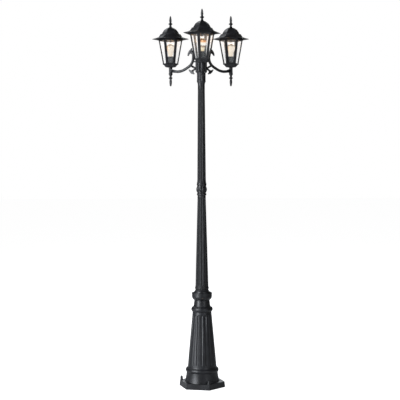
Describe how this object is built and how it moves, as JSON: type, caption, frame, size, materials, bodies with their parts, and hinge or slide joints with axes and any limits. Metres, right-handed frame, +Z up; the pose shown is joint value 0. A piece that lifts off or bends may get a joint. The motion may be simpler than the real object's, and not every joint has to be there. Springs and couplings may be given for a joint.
{
  "type": "triple head lamp post",
  "caption": "Fluted garden lamp post with a flared hexagonal base, scrolled arms and hexagonal glazed lanterns with hipped roofs and spires.",
  "frame": {"origin": "centre of the base's underside, on the post's axis", "axes": "+Z up along the post; -Y towards the front arm's lantern; the other two arms lie at 30 and 150 degrees from +X"},
  "size_m": [0.5998, 0.5281, 2.2949],
  "materials": {
    "coated_casting": "black fine-textured powder coat over cast aluminium",
    "coated_steel": "black painted steel",
    "plain_steel": "zinc plated",
    "brass_fitting": "turned brass",
    "pane_glass": "clear flat glass",
    "lamp_glass": "clear lamp glass",
    "lamp_metal": "nickel plated",
    "lamp_wire": "warm glowing strands on a glass stem",
    "holder_plastic": "black moulded",
    "insulating_plastic": "off-white moulded",
    "cable_sheath": "black sheath"
  },
  "bodies": {
    "post": {"base_casting": "coated_casting", "column_socket": "coated_casting", "lower_column": "coated_casting", "mid_coupling": "coated_casting", "upper_column": "coated_casting", "necking_ring": "coated_casting", "capital": "coated_casting", "capital_lid": "coated_casting", "anchor_washers": "plain_steel", "anchor_nuts": "coated_steel", "base_bridge": "plain_steel", "tie_rod": "plain_steel", "tie_rod_nuts": "coated_steel", "lead_splice": "insulating_plastic", "supply_cable": "cable_sheath", "terminal_block": "insulating_plastic", "arm_nuts": "plain_steel", "arm_front": "coated_casting", "lead_front": "cable_sheath", "bottom_finial_front": "coated_casting", "arm_right": "coated_casting", "lead_right": "cable_sheath", "bottom_finial_right": "coated_casting", "arm_left": "coated_casting", "lead_left": "cable_sheath", "bottom_finial_left": "coated_casting"},
    "lantern_front": {"cage_front": "coated_casting", "glass_front": "pane_glass", "stem_front": "brass_fitting", "stem_nuts_front": "brass_fitting", "lamp_holder_front": "holder_plastic"},
    "lamp_front": {"lamp_cap_front": "lamp_metal", "lamp_glass_front": "lamp_glass", "filament_front": "lamp_wire"},
    "roof_front": {"roof_front": "coated_casting", "roof_rod_front": "coated_steel", "top_finial_front": "coated_casting"},
    "lantern_right": {"cage_right": "coated_casting", "glass_right": "pane_glass", "stem_right": "brass_fitting", "stem_nuts_right": "brass_fitting", "lamp_holder_right": "holder_plastic"},
    "lamp_right": {"lamp_cap_right": "lamp_metal", "lamp_glass_right": "lamp_glass", "filament_right": "lamp_wire"},
    "roof_right": {"roof_right": "coated_casting", "roof_rod_right": "coated_steel", "top_finial_right": "coated_casting"},
    "lantern_left": {"cage_left": "coated_casting", "glass_left": "pane_glass", "stem_left": "brass_fitting", "stem_nuts_left": "brass_fitting", "lamp_holder_left": "holder_plastic"},
    "lamp_left": {"lamp_cap_left": "lamp_metal", "lamp_glass_left": "lamp_glass", "filament_left": "lamp_wire"},
    "roof_left": {"roof_left": "coated_casting", "roof_rod_left": "coated_steel", "top_finial_left": "coated_casting"}
  },
  "joints": [
    {"name": "lantern_front_turn", "type": "hinge", "parent": "post", "child": "lantern_front", "pos_m": [0, -0.217, 1.9778], "axis": [0, 0, 1], "range_deg": [-90, 90]},
    {"name": "roof_front_lift", "type": "slide", "parent": "lantern_front", "child": "roof_front", "axis": [0, 0, 1], "range_m": [0, 0.16]},
    {"name": "lamp_front_turn", "type": "hinge", "parent": "lantern_front", "child": "lamp_front", "pos_m": [0, -0.217, 1.9778], "axis": [0, 0, 1], "range_deg": [-1710, 0]},
    {"name": "lantern_right_turn", "type": "hinge", "parent": "post", "child": "lantern_right", "pos_m": [0.18793, 0.1085, 1.9778], "axis": [0, 0, 1], "range_deg": [-90, 90]},
    {"name": "roof_right_lift", "type": "slide", "parent": "lantern_right", "child": "roof_right", "axis": [0, 0, 1], "range_m": [0, 0.16]},
    {"name": "lamp_right_turn", "type": "hinge", "parent": "lantern_right", "child": "lamp_right", "pos_m": [0.18793, 0.1085, 1.9778], "axis": [0, 0, 1], "range_deg": [-1710, 0]},
    {"name": "lantern_left_turn", "type": "hinge", "parent": "post", "child": "lantern_left", "pos_m": [-0.18793, 0.1085, 1.9778], "axis": [0, 0, 1], "range_deg": [-90, 90]},
    {"name": "roof_left_lift", "type": "slide", "parent": "lantern_left", "child": "roof_left", "axis": [0, 0, 1], "range_m": [0, 0.16]},
    {"name": "lamp_left_turn", "type": "hinge", "parent": "lantern_left", "child": "lamp_left", "pos_m": [-0.18793, 0.1085, 1.9778], "axis": [0, 0, 1], "range_deg": [-1710, 0]}
  ]
}
